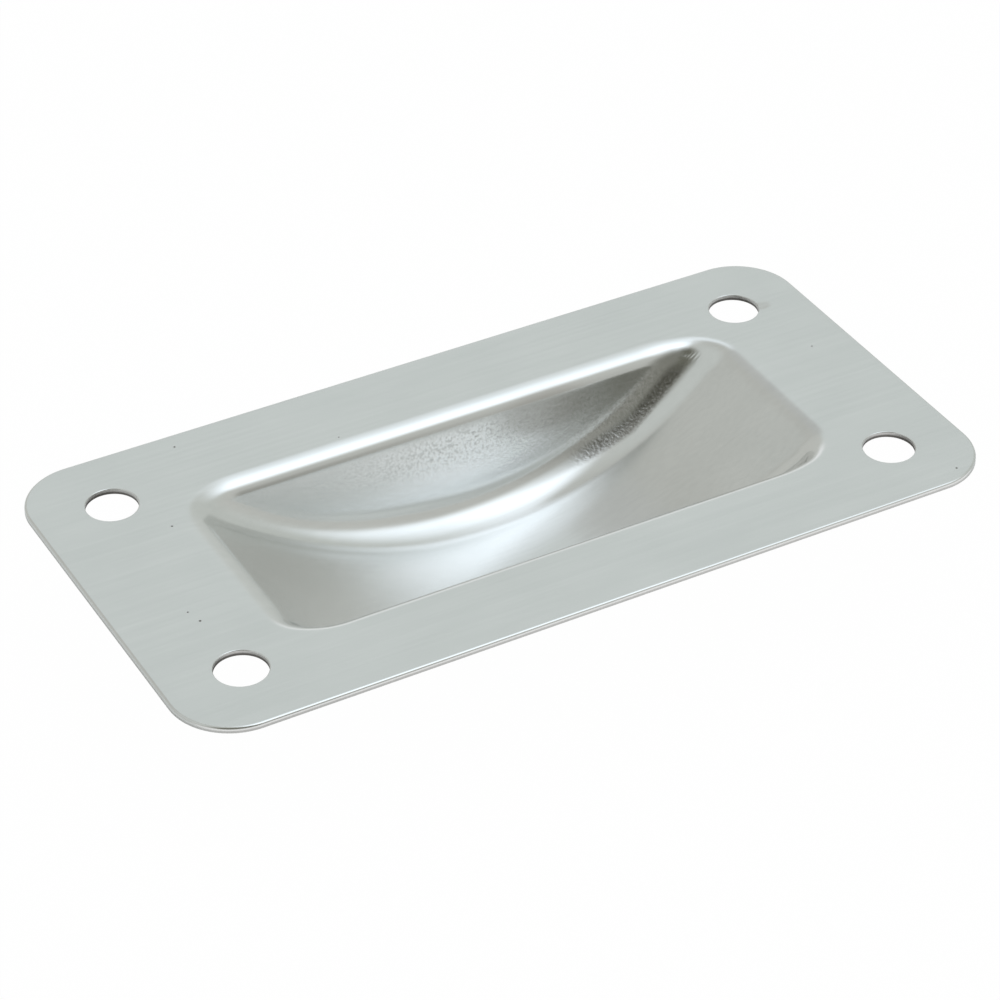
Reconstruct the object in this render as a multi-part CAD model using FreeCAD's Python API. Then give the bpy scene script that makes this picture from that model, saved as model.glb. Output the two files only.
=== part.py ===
import FreeCAD, Part

# Flush finger pull for a drawer or a sliding door, pressed from one piece of sheet steel.
# A flat plate with four screw holes carries a scooped recess for the fingers. The recess has two steep
# long walls, and its floor is one arc from end to end, so that it starts and ends level with the plate.
# Millimetres. X runs along the plate and Z points out of the cabinet. The origin is the middle of the
# four screw holes, on the back face, where the plate seats on the panel.

import math
import os

# Blanked plate
plate_length = 100.0
plate_width = 51.2
plate_corner_radius = 7.3
sheet_thickness = 0.7
edge_roll_radius = 0.3  # the die leaves the front edge of the outline a little round

# Screw holes
hole_diameter = 6.0
hole_pitch_along = 81.7
hole_pitch_across = 33.0

# Pressed recess, its plan size taken where the front face starts to bend
recess_length = 71.0
recess_width = 31.2
recess_depth = 12.9  # from the front face down to the middle of the floor
recess_shift = 0.9  # the pressing sits this far to the right of the middle of the screw holes
wall_angle = 75.0  # slope of the long walls, in degrees from the plate
rim_bend_radius = 2.6  # front side of the bend between plate and recess
floor_bend_radius = 5.0  # front side of the bend between walls and floor
tool_corner_radius = 8.0  # upright corners of the punch, at the height of the front face
tool_end_overrun = 1.7  # the punch's end walls stand this far past the ends of the floor arc

# Worked out from the sizes above
wall_slope = math.radians(wall_angle)
half_length = recess_length / 2
# The floor arc touches the end bends, which start half_length from the middle
arc_radius = (half_length**2 + recess_depth**2) / (2 * recess_depth) - rim_bend_radius
end_slope = math.asin(half_length / (arc_radius + rim_bend_radius))
# Where the floor and the walls would cross the front face without any bend between them
mouth_half_length = half_length - rim_bend_radius * math.tan(end_slope / 2)
mouth_half_width = recess_width / 2 - rim_bend_radius * math.tan(wall_slope / 2)
arc_centre_z = sheet_thickness - recess_depth + arc_radius
punch_top = sheet_thickness + rim_bend_radius  # clear of the front face by the bend that is added there
punch_bottom = sheet_thickness - recess_depth - floor_bend_radius  # clear below the floor arc


def rounded_outline(length, width, radius, height):
    """A closed wire round the Z axis: four lines joined by four quarter circles."""
    corners = []
    for side_x, side_y, start in ((1, 1, 0), (-1, 1, 90), (-1, -1, 180), (1, -1, 270)):
        centre_x = side_x * (length / 2 - radius)
        centre_y = side_y * (width / 2 - radius)
        circle = Part.Circle(FreeCAD.Vector(centre_x, centre_y, height), FreeCAD.Vector(0, 0, 1), radius)
        corners.append(Part.Arc(circle, math.radians(start), math.radians(start + 90)).toShape())
    edges = []
    for corner, following in zip(corners, corners[1:] + corners[:1]):
        edges.append(corner)
        edges.append(Part.makeLine(corner.Vertexes[-1].Point, following.Vertexes[0].Point))
    return Part.Wire(edges)


def blank():
    """The flat plate as it leaves the blanking die, with its screw holes."""
    outline = rounded_outline(plate_length, plate_width, plate_corner_radius, 0)
    plate = Part.Face(outline).extrude(FreeCAD.Vector(0, 0, sheet_thickness))
    front_edges = [edge for edge in plate.Edges if edge.BoundBox.ZMin > sheet_thickness / 2]
    plate = plate.makeFillet(edge_roll_radius, front_edges)
    for side_x in (-1, 1):
        for side_y in (-1, 1):
            centre = FreeCAD.Vector(side_x * hole_pitch_along / 2, side_y * hole_pitch_across / 2, 0)
            plate = plate.cut(Part.makeCylinder(hole_diameter / 2, sheet_thickness, centre))
    return plate


def punch_outline(height, grow):
    """Plan of the punch at one height; the walls and corners lean out as they rise."""
    lean = (height - sheet_thickness) / math.tan(wall_slope) + grow / math.sin(wall_slope)
    length = 2 * (mouth_half_length + tool_end_overrun + lean)
    return rounded_outline(length, 2 * (mouth_half_width + lean), tool_corner_radius + lean, height)


def punch(grow):
    """The tool that forms the recess, larger all over by grow: 0 for the front of the sheet."""
    bottom = punch_bottom - grow
    block = Part.makeLoft([punch_outline(bottom, grow), punch_outline(punch_top, grow)], True, True)
    radius = arc_radius + grow
    start = FreeCAD.Vector(0, -plate_width, arc_centre_z)
    scoop = Part.makeCylinder(radius, 2 * plate_width, start, FreeCAD.Vector(0, 1, 0))
    tool = block.common(scoop)
    floor = [face for face in tool.Faces if isinstance(face.Surface, Part.Cylinder)]
    floor_edges = [edge for edge in floor[0].Edges if edge.BoundBox.ZMin < punch_top - edge_roll_radius]
    tool = tool.makeFillet(floor_bend_radius + grow, floor_edges)
    tool.translate(FreeCAD.Vector(recess_shift, 0, 0))
    return tool


def recess_loop(sheet, height):
    """The edges round the recess in the flat face at this height; the shorter loops are screw holes."""
    loops = []
    for face in sheet.Faces:
        if isinstance(face.Surface, Part.Plane) and face.BoundBox.ZLength < 1e-6:
            if abs(face.BoundBox.ZMin - height) < 1e-6:
                loops += [wire for wire in face.Wires if not wire.isSame(face.OuterWire)]
    return max(loops, key=lambda wire: wire.Length).Edges


def pull_plate():
    """The blank with the recess pressed into it, the same thickness all over."""
    backing = punch(sheet_thickness)
    corner = FreeCAD.Vector(-plate_length / 2, -plate_width / 2, -2 * recess_depth)
    below = Part.makeBox(plate_length, plate_width, 2 * recess_depth + sheet_thickness / 2, corner)
    sheet = blank().fuse(backing.common(below)).removeSplitter()
    sheet = sheet.makeFillet(rim_bend_radius - sheet_thickness, recess_loop(sheet, 0))
    sheet = sheet.cut(punch(0))
    return sheet.makeFillet(rim_bend_radius, recess_loop(sheet, sheet_thickness))


os.makedirs("parts", exist_ok=True)
pull_plate().exportStep("parts/pull_plate.step")
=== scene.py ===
# %% [markdown]
# # A flush finger pull in pressed steel
#
# The real object is one piece of sheet steel. A die blanks the plate with its four screw holes, and a
# punch then presses the finger recess into it. Nothing is welded or screwed on, so what sells the picture
# is how the bare metal turns from flat to bent, and what it mirrors on the way.
#
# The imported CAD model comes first. It fixes every size, and the pieces that are made here must fit it.

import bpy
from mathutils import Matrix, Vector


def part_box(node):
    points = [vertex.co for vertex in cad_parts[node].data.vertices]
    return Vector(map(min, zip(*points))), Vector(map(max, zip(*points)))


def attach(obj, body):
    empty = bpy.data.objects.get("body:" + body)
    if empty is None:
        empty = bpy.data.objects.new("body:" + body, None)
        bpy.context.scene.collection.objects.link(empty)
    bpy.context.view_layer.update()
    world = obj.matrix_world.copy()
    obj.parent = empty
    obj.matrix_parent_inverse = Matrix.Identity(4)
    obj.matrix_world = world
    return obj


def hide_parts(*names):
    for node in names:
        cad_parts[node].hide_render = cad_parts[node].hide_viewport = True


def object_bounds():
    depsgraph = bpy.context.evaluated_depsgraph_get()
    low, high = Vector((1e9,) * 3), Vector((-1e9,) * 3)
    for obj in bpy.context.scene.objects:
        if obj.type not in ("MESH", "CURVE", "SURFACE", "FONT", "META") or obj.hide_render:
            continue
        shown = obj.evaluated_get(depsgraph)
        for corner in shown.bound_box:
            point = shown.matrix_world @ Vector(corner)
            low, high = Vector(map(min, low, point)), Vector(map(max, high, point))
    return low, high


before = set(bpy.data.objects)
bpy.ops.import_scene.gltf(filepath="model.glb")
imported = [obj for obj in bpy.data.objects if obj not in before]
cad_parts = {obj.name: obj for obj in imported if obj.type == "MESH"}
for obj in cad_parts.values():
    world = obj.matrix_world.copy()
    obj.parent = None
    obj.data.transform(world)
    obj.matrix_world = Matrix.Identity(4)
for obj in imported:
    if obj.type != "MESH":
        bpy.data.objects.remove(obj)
cad_low, cad_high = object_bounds()
print("CAD box in mm:", [round(1000 * v, 2) for v in (*cad_low, *cad_high)])

# %% Libraries
import math

import bmesh
import bpy
import numpy as np
from mathutils import Vector
from mathutils.bvhtree import BVHTree

# %% [markdown]
# ## Sizes
#
# The plate's outline, the sheet's thickness and the depth of the recess are read from the CAD node. The
# other sizes are those of the blanking die and of the punch. Most of them are the ones that the CAD part
# uses. The few that differ from it follow the photograph, and their comments say so. Everything is in
# millimetres until a mesh is made, and the height is measured from the back face.

# %% Sizes of the blank
MM = 0.001
low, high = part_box("pull_plate")
plate_length = (high[0] - low[0]) / MM
plate_width = (high[1] - low[1]) / MM
sheet_thickness = high[2] / MM
recess_depth = -low[2] / MM  # from back face to back of the floor, and so from front to front

plate_corner_radius = 7.3
edge_roll_radius = 0.3
hole_roll_radius = 0.12  # too small for the CAD part to carry, but it catches the light
hole_radius = 3.0
hole_pitch_along = 81.7
hole_pitch_across = 33.0
print("plate", round(plate_length, 2), "x", round(plate_width, 2), "sheet", round(sheet_thickness, 2))

# %% Sizes of the punch
recess_length = 71.0
recess_width = 31.2
recess_shift = 0.9  # to the right of the middle of the screw holes
wall_slope = math.radians(75.0)
rim_bend_radius = 2.6  # along the far side, as in the CAD part
near_bend_radius = 1.9  # along the near side, where the photo shows a crisper rim
end_bend_radius = 6.5  # at the two ends, where the photo shows a softer rim
floor_bend_radius = 5.0  # from the middle to the right end, as in the CAD part
left_bend_radius = 3.4  # towards the left end, where the photo shows a narrower bend
tool_corner_radius = 8.0
tool_end_overrun = 1.7  # the punch's end walls stand this far past the ends of the floor arc

half_length = recess_length / 2
arc_radius = (half_length**2 + recess_depth**2) / (2 * recess_depth) - rim_bend_radius
arc_centre_z = sheet_thickness - recess_depth + arc_radius
end_slope = math.asin(half_length / (arc_radius + rim_bend_radius))
mouth_half_length = half_length - rim_bend_radius * math.tan(end_slope / 2)
mouth_half_width = recess_width / 2 - rim_bend_radius * math.tan(wall_slope / 2)
near_half_width = recess_width / 2 - near_bend_radius * math.tan(wall_slope / 2)
print("recess depth", round(recess_depth, 2), "floor arc radius", round(arc_radius, 2))

# %% [markdown]
# ## The form of the recess
#
# The recess is a scoop with two steep long walls, and the sheet bends softly wherever two of its faces
# meet. Mirror-like metal shows the smallest unevenness. The CAD node's long thin triangles would show
# as ripples in those bends, and a boolean cut with a bevel over it would leave such triangles too. So the
# plate is made again here as an even grid that lies on the true surface.
#
# The surface is described as the press makes it. Each face of the punch is a function that says how far
# a point is inside it, and which way leads deeper.

# %% The faces of the punch and of the plate
def dot(a, b):
    """Scalar product, row by row."""
    return (a * b).sum(axis=1)


def inside_scoop(p):
    """Depth inside the cylinder that makes the recess's floor one long arc."""
    to_axis = np.stack([recess_shift - p[:, 0], 0 * p[:, 1], arc_centre_z - p[:, 2]], axis=1)
    reach = np.sqrt(dot(to_axis, to_axis))
    return arc_radius - reach, to_axis / reach[:, None]


def inside_walls(p):
    """Depth inside the leaning walls and their rounded corners."""
    x, y = p[:, 0] - recess_shift, p[:, 1]
    past_x = np.abs(x) - (mouth_half_length + tool_end_overrun - tool_corner_radius)
    past_y = np.abs(y) - (np.where(y > 0, mouth_half_width, near_half_width) - tool_corner_radius)
    corner = (past_x > 0) & (past_y > 0)
    reach = np.where(corner, np.hypot(past_x, past_y), np.maximum(past_x, past_y))
    out_x = np.where(corner, past_x / np.where(corner, reach, 1), past_x > past_y) * np.sign(x)
    out_y = np.where(corner, past_y / np.where(corner, reach, 1), past_y >= past_x) * np.sign(y)
    rise = p[:, 2] - sheet_thickness
    depth = (tool_corner_radius - reach) * math.sin(wall_slope) + rise * math.cos(wall_slope)
    lean = np.full_like(x, math.cos(wall_slope))
    return depth, np.stack([-out_x * math.sin(wall_slope), -out_y * math.sin(wall_slope), lean], axis=1)


def under_front(p):
    """Depth below the plate's front face."""
    down = np.zeros_like(p)
    down[:, 2] = -1
    return sheet_thickness - p[:, 2], down


floor_middle = np.array([[recess_shift, 0.0, sheet_thickness - recess_depth]])
print("the floor's middle is off the scoop's face by", abs(round(inside_scoop(floor_middle)[0][0], 6)))

# %% [markdown]
# A fillet in a CAD program rolls a ball along the corner between two faces: wherever the ball touches both
# of them, its own surface is the bend. The same is done here for one point at a time. The ball's middle is
# moved, in a few steps, to where it is one radius deep in both faces and as near to the point as can be.
# Because the radius may differ from place to place, one rule gives the crisp side of the rim and the soft
# ends.

# %% A bend is the surface of a rolling ball
BALL_STEPS = 5  # more would only change the corners of the rim, by up to 0.17 mm


def bend(first, second, radius_at):
    """The body inside both faces, with a ball rolled along the corner where they meet."""

    def inside(p):
        depth_a, way_a = first(p)
        depth_b, way_b = second(p)
        nearer = (depth_a < depth_b)[:, None]
        depth, way = np.minimum(depth_a, depth_b), np.where(nearer, way_a, way_b)
        radius = radius_at(p)
        close = np.flatnonzero((depth_a < 2 * radius) & (depth_b < 2 * radius))
        radius = radius[close]
        start, ball = p[close], p[close]
        for _ in range(BALL_STEPS):
            depth_a, way_a = first(ball)
            depth_b, way_b = second(ball)
            need_a = radius - depth_a + dot(way_a, ball - start)
            need_b = radius - depth_b + dot(way_b, ball - start)
            slant = dot(way_a, way_b)
            step_a = (need_a - slant * need_b) / (1 - slant**2)
            step_b = (need_b - slant * need_a) / (1 - slant**2)
            ball = start + step_a[:, None] * way_a + step_b[:, None] * way_b
        touching = (step_a > 0) & (step_b > 0)
        to_ball = (ball - start)[touching]
        reach = np.sqrt(dot(to_ball, to_ball))
        depth[close[touching]] = radius[touching] - reach
        way[close[touching]] = to_ball / reach[:, None]
        return depth, way

    return inside


# %% Radii that change along the recess
def beyond_rim(x, y):
    """How far places lie outside the rim in plan, and how squarely they face an end, from 0 to 1."""
    past_x = np.maximum(abs(x - recess_shift) - (half_length - tool_corner_radius), 0)
    past_y = np.maximum(abs(y) - (recess_width / 2 - tool_corner_radius), 0)
    reach = np.hypot(past_x, past_y)
    return reach - tool_corner_radius, (past_x / np.maximum(reach, 0.01)) ** 2


def rim_radius(p):
    """Wide at the two ends, narrower along the sides."""
    toward_end = beyond_rim(p[:, 0], p[:, 1])[1] ** 2
    side_radius = np.where(p[:, 1] > 0, rim_bend_radius, near_bend_radius)
    return side_radius + (end_bend_radius - side_radius) * toward_end


narrowing_start, narrowing_length = 4, 20  # to the left of the middle of the recess


def floor_radius(p):
    """Narrows softly towards the left end."""
    toward_left = np.clip((recess_shift - p[:, 0] - narrowing_start) / narrowing_length, 0, 1)
    return floor_bend_radius + (left_bend_radius - floor_bend_radius) * toward_left**2 * (3 - 2 * toward_left)


along_the_floor = np.array([[x, 0.0, 0.0] for x in (-25, -15, 0, 25)])
print("floor bend radius at x -25, -15, 0 and 25:", floor_radius(along_the_floor).round(2))

# %% The front of the sheet
inside_punch = bend(inside_scoop, inside_walls, floor_radius)


def outside_punch(p):
    """Depth in what the punch leaves."""
    depth, way = inside_punch(p)
    return -depth, -way


inside_metal = bend(under_front, outside_punch, rim_radius)
print("depth in the metal at the middle of the floor:", abs(round(inside_metal(floor_middle)[0][0], 6)))

# %% [markdown]
# The height of the front face over a point of the plan is found by halving: the face lies between the
# last height that was in the metal and the last that was above it.
#
# Lines at equal steps of the plan would be far apart on the steep walls. So a coarse grid is measured
# first, and the final lines are set at equal steps along the bent sheet. The back of the sheet is the
# front moved straight inwards by the thickness, as a press leaves it.

# %% Heights over the plan, and lines at even steps along the sheet
HALVINGS = 24  # to under a millionth of a millimetre
OVERSHOOT = 0.1  # the search starts this far above and below the sheet's front


def front_heights(x_lines, y_lines):
    """The front face over a grid of places; x is measured from the middle of the recess."""
    x, y = (g.ravel() for g in np.meshgrid(recess_shift + x_lines, y_lines, indexing="ij"))
    below = np.full_like(x, sheet_thickness - recess_depth - OVERSHOOT)
    above = np.full_like(x, sheet_thickness + OVERSHOOT)
    for _ in range(HALVINGS):
        middle = (below + above) / 2
        in_metal = inside_metal(np.stack([x, y, middle], axis=1))[0] > 0
        below, above = np.where(in_metal, middle, below), np.where(in_metal, above, middle)
    return np.stack([x, y, (below + above) / 2], axis=1)


def even_lines(places, heights, count):
    """Places at equal steps along the sheet, averaged over all the sections that the heights hold."""
    steps = np.hypot(np.diff(places)[:, None], np.diff(heights, axis=0)).mean(axis=1)
    walked = np.concatenate([[0], np.cumsum(steps)])
    return np.interp(np.linspace(0, walked[-1], count), walked, places)


# %% The grid on the front and on the back of the sheet
end_margin, side_margin = 2.6, 0.5  # flat sheet round the recess that the grid takes in
coarse_columns, coarse_rows = 120, 100
columns, rows = 209, 169

half_width = recess_width / 2 + side_margin
coarse_x = np.linspace(-half_length - end_margin, half_length + end_margin, coarse_columns)
coarse_y = np.linspace(-half_width, half_width, coarse_rows)
coarse = front_heights(coarse_x, coarse_y)[:, 2].reshape(coarse_columns, coarse_rows)
x_lines = even_lines(coarse_x, coarse, columns)
y_lines = even_lines(coarse_y, coarse.T, rows)

front = front_heights(x_lines, y_lines)
back = front + sheet_thickness * inside_metal(front)[1]
front, back = front.reshape(columns, rows, 3), back.reshape(columns, rows, 3)
print("lowest point of the front", round(front[:, :, 2].min(), 3))
print("lowest point of the back", round(back[:, :, 2].min(), 3))

# %% Make the flat part of the grid exactly flat
flat_slack, rim_slack = 0.0001, 0.01
flat = abs(front[:, :, 2] - sheet_thickness) < flat_slack
flat[:, [0, -1]] = flat[[0, -1], :] = True
front[flat, 2] = sheet_thickness
back[flat] = front[flat] - (0, 0, sheet_thickness)
near_rim = beyond_rim(front[:, :, 0], front[:, :, 1])[0] < end_margin + rim_slack
print("flat places in the grid", flat.sum(), "of", flat.size)

# %% [markdown]
# ## The blank
#
# Round the recess the sheet is flat. Its outline and its holes are closed loops at a few heights: the die
# rolls the front edge over a little, by more on the outline than in the holes, and the rest of the edge is
# sheared straight down. The flat faces between the loops and the grid are filled with large triangles.
# That costs nothing in smoothness, because nothing bends there.

# %% Loops round the plate and round a hole
CORNER_POINTS, HOLE_POINTS, ROLL_LOOPS = 25, 64, 6


def outline_loop(inset, height):
    """Points round the plate's outline, moved in by inset."""
    radius = plate_corner_radius - inset
    points = []
    for side_x, side_y, start in ((1, 1, 0), (-1, 1, 90), (-1, -1, 180), (1, -1, 270)):
        centre_x = side_x * (plate_length / 2 - plate_corner_radius)
        centre_y = side_y * (plate_width / 2 - plate_corner_radius)
        for turn in np.radians(np.linspace(start, start + 90, CORNER_POINTS)):
            points.append((centre_x + radius * math.cos(turn), centre_y + radius * math.sin(turn), height))
    return points


def hole_loop(centre_x, centre_y, radius, height):
    """Points round a screw hole."""
    turns = np.linspace(0, 2 * math.pi, HOLE_POINTS, endpoint=False)
    return [(centre_x + radius * math.cos(t), centre_y + radius * math.sin(t), height) for t in turns]


def edge_profile(roll):
    """Inset and height of the loops from the front face over the rolled edge and down to the back face."""
    steps = []
    for turn in np.radians(np.linspace(0, 90, ROLL_LOOPS)):
        steps.append((roll * (1 - math.sin(turn)), sheet_thickness - roll * (1 - math.cos(turn))))
    return steps + [(0.0, 0.0)]


print("loops down the plate's edge:", len(edge_profile(edge_roll_radius)))

# %% Ways to add the parts of the plate to one mesh
ROLLED, SHEARED = 0, 1  # the two materials of the plate
SAME_HEIGHT = 1e-7  # heights in metres that are nearer to each other than this count as one


def add_grid(mesh, points, near_rim, face_up):
    """Adds a grid of quads, without its flat corners, which would run into the screw holes."""
    columns, rows = points.shape[:2]
    verts = [[mesh.verts.new(points[i, j] * MM) for j in range(rows)] for i in range(columns)]
    for i in range(columns - 1):
        for j in range(rows - 1):
            if near_rim[i:i + 2, j:j + 2].all():
                corners = [verts[i][j], verts[i + 1][j], verts[i + 1][j + 1], verts[i][j + 1]]
                mesh.faces.new(corners if face_up else corners[::-1])
    spare = [v for column in verts for v in column if not v.link_faces]
    bmesh.ops.delete(mesh, geom=spare, context="VERTS")


def add_edge(mesh, loops):
    """Joins closed loops of the same count by bands of quads; the last band is the sheared one."""
    rings = [[mesh.verts.new(Vector(p) * MM) for p in loop] for loop in loops]
    for upper, lower in zip(rings, rings[1:]):
        for k in range(len(upper)):
            n = (k + 1) % len(upper)
            face = mesh.faces.new((upper[k], lower[k], lower[n], upper[n]))
            face.material_index = SHEARED if lower is rings[-1] else ROLLED


def fill_flat(mesh, height):
    """Fills the flat face between every open loop at this height."""
    level = height * MM
    loose = [e for e in mesh.edges if e.is_boundary]
    rim = [e for e in loose if all(abs(v.co.z - level) < SAME_HEIGHT for v in e.verts)]
    made = bmesh.ops.triangle_fill(mesh, use_beauty=True, edges=rim)
    return sum(isinstance(part, bmesh.types.BMFace) for part in made["geom"])


# %% Build the plate's mesh
plate_mesh = bmesh.new()
add_grid(plate_mesh, front, near_rim, True)
add_grid(plate_mesh, back, near_rim, False)
add_edge(plate_mesh, [outline_loop(inset, height) for inset, height in edge_profile(edge_roll_radius)])
hole_profile = edge_profile(hole_roll_radius)
for side_x in (-1, 1):
    for side_y in (-1, 1):
        centre = (side_x * hole_pitch_along / 2, side_y * hole_pitch_across / 2)
        hole = [hole_loop(*centre, hole_radius + inset, height) for inset, height in hole_profile]
        add_edge(plate_mesh, hole)
print("flat triangles in front", fill_flat(plate_mesh, sheet_thickness))
print("flat triangles behind", fill_flat(plate_mesh, 0.0))
bmesh.ops.recalc_face_normals(plate_mesh, faces=plate_mesh.faces)
print("open edges", sum(e.is_boundary for e in plate_mesh.edges))

# %% [markdown]
# Smooth shading averages the normals round each vertex. At the rim of a hole that would tilt the normals of
# the large flat triangles too, and a mirror-like plate would show them as streaks. A sharp edge round each
# hole would keep the flat face clean, but the roll would start with a step in its shading. So wherever a
# flat face meets a bend, the normal is set to the flat face's own.

# %% Smooth shading with exact normals on the flat faces
plate_data = bpy.data.meshes.new("pressed_plate")
plate_mesh.to_mesh(plate_data)
plate_mesh.free()
plate_data.shade_smooth()
plate_data.set_sharp_from_angle(angle=math.radians(35))  # only the sheared edge turns more than this

level_normal = 0.99999  # the upright part of a normal that counts as straight up or down
same_side = 0.8  # the cosine that tells the flat face's side of a sharp edge from the other side
flat_way = {}
for face in plate_data.polygons:
    off_level = min(abs(face.center.z), abs(face.center.z - high[2]))
    if abs(face.normal.z) > level_normal and off_level < SAME_HEIGHT:
        for index in face.vertices:
            flat_way[index] = Vector((0, 0, math.copysign(1, face.normal.z)))
normals = []
for corner, loop in zip(plate_data.corner_normals, plate_data.loops):
    way = flat_way.get(loop.vertex_index, corner.vector)
    normals.append(way if way.dot(corner.vector) > same_side else corner.vector)
plate_data.normals_split_custom_set(normals)
print("vertices with the flat faces' own normal", len(flat_way))

# %% [markdown]
# The new plate takes the place of the CAD node, which stays in the frame unseen. Two measures say whether
# it may: the count of triangles, and how far its surface is from the node's anywhere. It is furthest where
# the bends follow the photograph instead of the CAD part.

# %% Let the plate stand for the CAD node
pressed_plate = bpy.data.objects.new("pressed_plate", plate_data)
bpy.context.scene.collection.objects.link(pressed_plate)
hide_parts("pull_plate")
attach(pressed_plate, "root")

cad_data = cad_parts["pull_plate"].data
cad_places = [v.co for v in cad_data.vertices]
cad_surface = BVHTree.FromPolygons(cad_places, [p.vertices for p in cad_data.polygons])
gaps = [cad_surface.find_nearest(v.co)[3] for v in plate_data.vertices]
print("triangles", sum(len(p.vertices) - 2 for p in plate_data.polygons))
print("furthest from the CAD surface, mm:", round(max(gaps) / MM, 4))

# %% [markdown]
# ## The steel
#
# Bare mill-finished steel is a metal with a nearly neutral grey of its own. What varies over it is small:
# clouds and faint lengthwise streaks from the rolling, and the grain, called orange peel, that the punch
# leaves where it stretched the sheet. Each of them is a number that is worked out from the place on the
# plate: a noise that goes up and down about 0, or a mask from 0 to 1. These numbers then steer the colour,
# the roughness and the bumps, so that all three stay in step with each other.
#
# A shader is a net of nodes, and long sums of nodes are hard to read. So one small class wraps a node's
# output, and plus, minus and times between two of them add the maths nodes.

# %% Shader maths in plain Python
class Wire:
    """Wraps a node's output, so that shader maths reads like Python."""

    def __init__(self, tree, socket):
        self.tree = tree
        self.socket = socket

    def node(self, kind, settings, sockets, output=0):
        """Adds a node to the same tree: its settings first, then its sockets, and wraps one output."""
        made = self.tree.nodes.new(kind)
        for name, value in settings.items():
            setattr(made, name, value)
        for name, value in sockets.items():
            if isinstance(value, Wire):
                self.tree.links.new(value.socket, made.inputs[name])
            else:
                made.inputs[name].default_value = value
        return Wire(self.tree, made.outputs[output])

    def maths(self, operation, first, second):
        return self.node("ShaderNodeMath", {"operation": operation}, {0: first, 1: second})

    def __add__(self, other):
        return self.maths("ADD", self, other)

    __radd__ = __add__

    def __sub__(self, other):
        return self.maths("SUBTRACT", self, other)

    def __rsub__(self, other):
        return self.maths("SUBTRACT", other, self)

    def __mul__(self, other):
        return self.maths("MULTIPLY", self, other)

    __rmul__ = __mul__

    def larger(self, other):
        return self.maths("MAXIMUM", self, other)

    def __abs__(self):
        return self.maths("ABSOLUTE", self, 0.0)

    def part(self, axis):
        """One part of a vector, 0 for x, 1 for y and 2 for z."""
        return self.node("ShaderNodeSeparateXYZ", {}, {0: self}, axis)

    def vector(self, operation, other, output=0):
        return self.node("ShaderNodeVectorMath", {"operation": operation}, {0: self, 1: other}, output)

    def step(self, start, end):
        """0 at start and 1 at end, with a soft rise between them; start may be the larger."""
        settings = {"interpolation_type": "SMOOTHSTEP"}
        if start > end:
            return 1 - self.step(end, start)
        return self.node("ShaderNodeMapRange", settings, {"Value": self, "From Min": start, "From Max": end})

    def noise(self, scale, detail):
        """Noise from -0.5 to 0.5; scale is a vector of waves per unit, so that a small one stretches it."""
        place = self.vector("MULTIPLY", scale)
        return self.node("ShaderNodeTexNoise", {}, {"Vector": place, "Scale": 1.0, "Detail": detail}) - 0.5

    def blend(self, first, second):
        """A colour that goes from the first to the second as this mask rises."""
        sockets = {"Factor": self, 6: first, 7: second}
        return self.node("ShaderNodeMix", {"data_type": "RGBA"}, sockets, 2)

    def relief(self, height):
        """The surface normal for bumps of this height in millimetres."""
        return self.node("ShaderNodeBump", {}, {"Strength": 1.0, "Distance": MM, "Height": height})


# %% A new material, and the place on the plate in millimetres
def new_material(name):
    """An empty material, its tree, and a wire with the object's own coordinates in millimetres."""
    material = bpy.data.materials.new(name)
    material.use_nodes = True
    tree = material.node_tree
    tree.nodes.clear()
    place = Wire(tree, tree.nodes.new("ShaderNodeTexCoord").outputs["Object"])
    return material, tree, place.vector("MULTIPLY", (1 / MM,) * 3)


def finish_material(tree, shader):
    """Links a shader to the material's output."""
    output = tree.nodes.new("ShaderNodeOutputMaterial")
    tree.links.new(shader.socket, output.inputs["Surface"])
    print("nodes in the material:", len(tree.nodes))


steel, tree, place = new_material("mill_steel")
x, y, z = (place.part(axis) for axis in range(3))

# %% Noise of the rolled sheet, by its waves a millimetre along x, y and z
clouds = place.noise((0.09, 0.16, 0.16), 4.0)
streaks = place.noise((0.035, 1.9, 1.9), 3.0)
fine_streaks = place.noise((0.25, 9.0, 9.0), 2.0)
grain = place.noise((5.0, 5.0, 5.0), 2.0)
print("nodes so far:", len(tree.nodes))

# %% [markdown]
# Stretching is strongest in the middle of the long walls. There the sheet was drawn thin against the
# punch, with small pits and, under the rim, a few dark wrinkles. Its paler colour there is a painted
# reflection, a bright patch that stands in for light which the wall mirrors from the floor. Where the far
# wall turns into the floor towards the right end, the sheet is pulled round two bends at once and is grainy,
# and the dark band there is painted shade, for the dark surroundings that this bend mirrors. The grain is
# about a third of a millimetre wide and a few hundredths of a millimetre high at most, too fine for the mesh,
# so a bump gives it.

# %% Where the sheet is stretched
near_step_out = near_half_width - mouth_half_width  # the near wall stands this much further out
across = y.larger(-1 * y - near_step_out)
along = abs(x - recess_shift)
wall = across.step(10.8, 12.0) * z.step(-0.6, -2.2)  # both long walls, below the rim
wall_middle = wall * along.step(20.0, 0.0) * z.step(-10.0, -6.0)  # fades to the ends and to the foot
far_right_wall = wall * y.step(6.0, 9.0) * x.step(6.0, 18.0)

bend_line = y - 0.25 * (x - 22.9).larger(0.0)  # from x = 22.9 on, the floor bend moves outwards
bend_band = bend_line.step(9.2, 9.9) * bend_line.step(11.3, 10.6)  # about 1.4 mm wide
corner_bend = bend_band * x.step(13.5, 18.5) * z.step(-0.8, -2.5)
stretched = wall_middle.larger(corner_bend * 0.8).larger(wall * 0.5)
print("the near wall stands further out by", round(near_step_out, 2), "mm")

# %% What the stretching leaves, and a band of painted shade
peel = place.noise((2.8, 2.8, 2.8), 3.0)
pits = peel.step(0.04, -0.14) * (wall_middle * z.step(-7.0, -3.5)).larger(0.6 * far_right_wall)
# painted shade: a dark band on the far bend towards the right end, broken up by the grain
painted_dark_band = corner_bend * (0.72 + 1.1 * peel)
wrinkles = wall_middle * place.noise((0.8, 1.2, 3.2), 3.0).step(0.13, 0.22) * z.step(-5.0, -3.0)
print("nodes so far:", len(tree.nodes))
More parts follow.
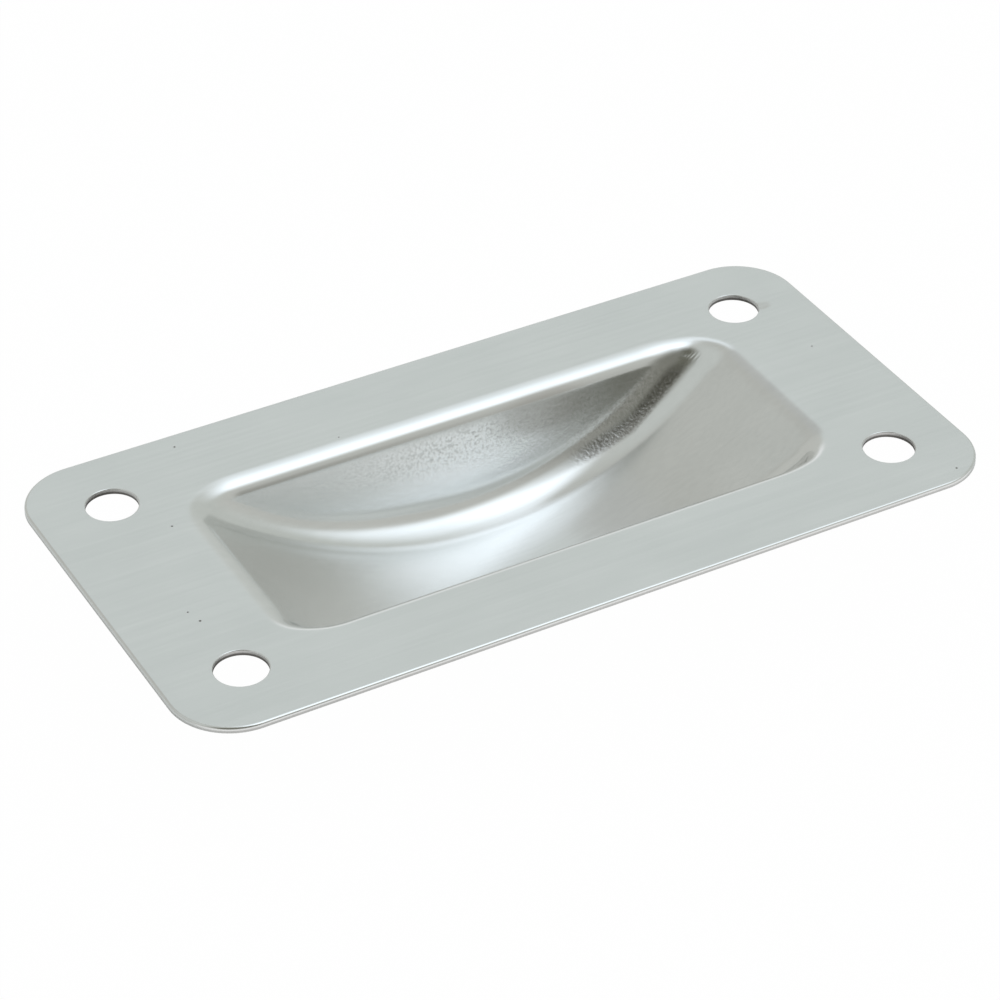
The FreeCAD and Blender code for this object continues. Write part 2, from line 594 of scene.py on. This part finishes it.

# %% [markdown]
# Small marks make it a used piece of workshop metal: a few dark specks and a thin brownish smear beside one
# screw hole. A darker patch under the far rim is painted shade, where the far wall mirrors dark surroundings.
# Each is a soft spot at its own place, which was read from the photograph. An image texture would need a
# picture of the part, and spots need only their places.

# %% Specks, a smear and a patch of painted shade
def spot(centre, radius, stretch=1.0):
    """A soft spot round a place, longer along x by stretch."""
    reach = place.vector("SUBTRACT", centre).vector("MULTIPLY", (1 / stretch, 1.0, 1.0))
    return reach.vector("LENGTH", (0.0, 0.0, 0.0), 1).step(radius, radius * 0.4)


top = sheet_thickness
speck_spots = [
    spot((-41.7, -5.2, top), 0.15),
    spot((-41.2, -7.2, top), 0.20),
    spot((-36.7, 9.6, top), 0.17),
    spot((-30.1, 23.2, top), 0.18),
    spot((44.6, 5.1, top), 0.14),
    spot((45.2, -23.6, top), 0.18),
    spot((-12.9, 15.8, top), 0.12),
    spot((-26.5, -3.0, -5.2), 0.22),
    spot((-18.5, 2.5, -9.4), 0.22),
]
specks = speck_spots[0]
for another in speck_spots[1:]:
    specks = specks.larger(another)
smear = spot((44.0, 15.4, top), 1.1, 1.6) * (0.5 + place.noise((0.8, 2.5, 1.0), 3.0))
# painted shade: a darker patch on the far wall under the rim, right of the middle
painted_shade_patch = spot((12.5, 12.8, -2.4), 3.4, 2.6)
print("specks:", len(speck_spots))

# %% [markdown]
# The masks now tint one base colour, from the widest to the smallest, and roughen it where it is marked.
# A clean, mill-finished sheet mirrors softly, so the roughness stays low everywhere else.

# %% The steel itself
paler = 0.5 + 1.0 * clouds + 0.7 * streaks + 0.3 * fine_streaks
colour = paler.blend((0.685, 0.695, 0.685, 1), (0.765, 0.770, 0.760, 1))
# painted reflection: the middle of the long walls is made nearly white, for the bright patch they mirror
colour = wall_middle.blend(colour, (0.99, 0.995, 1.0, 1))
# painted shade on the far bend towards the right end
colour = painted_dark_band.blend(colour, (0.24, 0.23, 0.21, 1))
colour = (0.35 * pits + 0.45 * wrinkles).blend(colour, (0.34, 0.33, 0.31, 1))
# painted shade under the far rim
colour = (0.5 * painted_shade_patch).blend(colour, (0.44, 0.42, 0.39, 1))
colour = (0.5 * smear).blend(colour, (0.42, 0.37, 0.33, 1))
colour = specks.blend(colour, (0.16, 0.15, 0.14, 1))

roughness = 0.18 + 0.05 * clouds + 0.05 * streaks + 0.02 * grain
roughness = roughness + 0.04 * stretched + 0.25 * specks + 0.1 * smear
bumps = 0.0012 * streaks + 0.0004 * fine_streaks + 0.0002 * grain + stretched * peel * 0.05
surface = place.node("ShaderNodeBsdfPrincipled", {}, {
    "Base Color": colour,
    "Metallic": 1.0,
    "Roughness": roughness,
    "Normal": place.relief(bumps),
})
finish_material(tree, surface)
plate_data.materials.append(steel)

# %% [markdown]
# The sheared edge is another surface. The upper part of the cut was pressed smooth by the die, and the
# lower part tore, which leaves it dull and darker, with marks that run straight down the cut. In the screw
# holes the cut is painted darker still, as painted shade, because little light gets into them. Both looks
# are one material, which tells the holes from the outline by their places.

# %% The sheared edge
sheared, tree, place = new_material("sheared_edge")
in_hole = abs(place.part(1)).step(23.0, 22.0) * abs(place.part(0)).step(47.0, 46.0)  # off the outline
torn = place.part(2).step(0.42, 0.22)  # the lower third of the cut
cut_marks = place.noise((9.0, 9.0, 0.6), 3.0)
darker = torn + 0.5 * cut_marks
outline_colour = darker.blend((0.86, 0.86, 0.85, 1), (0.62, 0.62, 0.61, 1))
# painted shade: the cut inside the holes is much darker than on the outline
hole_colour = darker.blend((0.55, 0.54, 0.53, 1), (0.20, 0.19, 0.18, 1))
surface = place.node("ShaderNodeBsdfPrincipled", {}, {
    "Base Color": in_hole.blend(outline_colour, hole_colour),
    "Metallic": 1.0,
    "Roughness": 0.30 + 0.25 * torn + 0.1 * cut_marks,
    "Normal": place.relief(cut_marks * (0.004 + 0.010 * torn)),
})
finish_material(tree, surface)
plate_data.materials.append(sheared)

# %% [markdown]
# ## The table, the light and the camera
#
# The photograph has a white background with hardly a shadow on it. So the table is a matt white sheet that
# glows by itself where the camera sees it. The metal must not mirror that glow, or its underside and its
# edges would drown in it. So what the steel mirrors of the table is dim, except in front of the pull, where
# the sheared edge mirrors bright paper.

# %% A pale floor under the pull
floor_data = bpy.data.meshes.new("table")
reach = 3.0  # metres to each side, beyond what the camera sees
floor_height = cad_low[2] - 0.02 * MM  # just clear of the recess's lowest point
floor_corners = [(-reach, -reach, floor_height), (reach, -reach, floor_height),
                 (reach, reach, floor_height), (-reach, reach, floor_height)]
floor_data.from_pydata(floor_corners, [], [(0, 1, 2, 3)])
print("table height, mm:", round(floor_height / MM, 2))
table = bpy.data.objects.new("table", floor_data)
bpy.context.scene.collection.objects.link(table)

# %% White paper that glows for the camera
paper, tree, place = new_material("white_paper")
shaded = place.node("ShaderNodeBsdfDiffuse", {}, {"Color": (0.9, 0.9, 0.9, 1)})
bright = place.node("ShaderNodeEmission", {}, {"Color": (1, 1, 1, 1), "Strength": 1.0})
rays = tree.nodes.new("ShaderNodeLightPath")
by_camera = Wire(tree, rays.outputs["Is Camera Ray"])
in_metal = Wire(tree, rays.outputs["Is Glossy Ray"])
in_front = place.part(1).step(-22.0, -38.0)
glow = by_camera * 0.99 + in_metal * (0.15 + 0.8 * in_front)
finish_material(tree, place.node("ShaderNodeMixShader", {}, {0: glow, 1: shaded, 2: bright}))
floor_data.materials.append(paper)

# %% [markdown]
# Metal has no look of its own: it shows what stands round it. Area lights would do, but each would be
# mirrored with hard edges. So the studio is a plain grey room with soft round patches in it. Each patch is
# set where one part of the plate mirrors it, and the comments below say which. The brightest ones hang
# overhead and give the white lines on the bends. The darkest are low on the right and round the camera.
# The order matters, because a later patch hides what it covers of an earlier one. So the third and the
# fourth are mostly hidden, and only tint what mirrors them. The camera itself sees plain white.

# %% A soft patch of light
world = bpy.data.worlds.new("studio")
world.use_nodes = True
bpy.context.scene.world = world
tree = world.node_tree
tree.nodes.clear()
toward = Wire(tree, tree.nodes.new("ShaderNodeTexCoord").outputs["Generated"])


def patch(behind, direction, inner, outer, colour):
    """Lays a soft round patch of light over the light behind it; the angles are from its middle."""
    aim = Vector(direction).normalized()
    lined_up = toward.vector("DOT_PRODUCT", aim, 1)
    cover = lined_up.step(math.cos(math.radians(outer)), math.cos(math.radians(inner)))
    return cover.blend(behind, (*colour, 1))


# %% The studio round the pull
room = (0.63, 0.64, 0.61, 1)
light = patch(room, (0.25, 0.45, 0.86), 10, 23, (1.36, 1.47, 1.58))  # overhead, behind: where the rim starts
light = patch(light, (-0.41, 0.34, 0.85), 31, 37, (0.57, 0.58, 0.55))  # overhead, left: the floor's right
light = patch(light, (0.91, 0.41, 0.05), 8, 44, (0.01, 0.01, 0.01))  # low, right: a dark gap for the left end
light = patch(light, (0.60, 0.67, 0.44), 3, 27, (1.23, 1.24, 1.27))  # behind, right: the floor's left
light = patch(light, (0.20, -0.47, 0.86), 5, 24, (1.30, 1.37, 1.40))  # overhead, in front: the floor bend
light = patch(light, (0.46, -0.15, 0.87), 0, 34, (1.73, 1.88, 2.03))  # overhead, right: the rim's white line
light = patch(light, (0.90, 0.32, 0.30), 0, 73, (0.63, 0.66, 0.63))  # right, very wide: the left half
light = patch(light, (-0.56, 0.16, 0.82), 15, 40, (0.67, 0.70, 0.68))  # overhead, left: the bend's right end
light = patch(light, (-0.32, -0.69, 0.65), 8, 40, (0.15, 0.15, 0.12))  # the camera: the far wall's right end
light = patch(light, (-0.24, -0.96, 0.12), 29, 40, (0.24, 0.24, 0.21))  # below the camera: the same wall
light = patch(light, (0.37, 0.87, 0.32), 4, 13, (1.00, 1.02, 1.03))  # low, behind: the recess's near side
light = patch(light, (0.39, 0.71, 0.59), 11, 19, (0.72, 0.767, 0.757))  # behind: the whole flat plate
light = patch(light, (0.07, 0.70, 0.71), 5, 9, (0.57, 0.585, 0.57))  # behind, higher: right of middle
seen = Wire(tree, tree.nodes.new("ShaderNodeLightPath").outputs["Is Camera Ray"])
shown = seen.blend(light, (1, 1, 1, 1))
background = toward.node("ShaderNodeBackground", {}, {"Color": shown, "Strength": 1.0})
tree.links.new(background.socket, tree.nodes.new("ShaderNodeOutputWorld").inputs["Surface"])
print("nodes in the studio:", len(tree.nodes))

# %% [markdown]
# The camera stands where the photograph was taken from. Its place and its lens were fitted, so that this
# plate's outline and its four holes fall where the picture shows them. The standard view transform keeps
# the paper white, where Blender's default one would turn it light grey.

# %% The camera
camera_data = bpy.data.cameras.new("camera")
camera_data.lens = 124.82
camera_data.sensor_width = 36
camera_data.clip_start = 0.01
camera = bpy.data.objects.new("camera", camera_data)
bpy.context.scene.collection.objects.link(camera)

camera_turn = math.radians(-29.21)
camera_rise = math.radians(36.25)
camera_distance = 386.3 * MM
camera_target = Vector((-2.748 * MM, -3.786 * MM, sheet_thickness * MM))
level_part = math.cos(camera_rise)
away_x = math.sin(camera_turn) * level_part
away_y = -math.cos(camera_turn) * level_part
away = Vector((away_x, away_y, math.sin(camera_rise)))
camera.location = camera_target + camera_distance * away
camera.rotation_euler = away.to_track_quat("Z", "Y").to_euler()
bpy.context.scene.camera = camera
bpy.context.scene.view_settings.view_transform = "Standard"
print("camera at, mm:", [round(v / MM, 1) for v in camera.location])
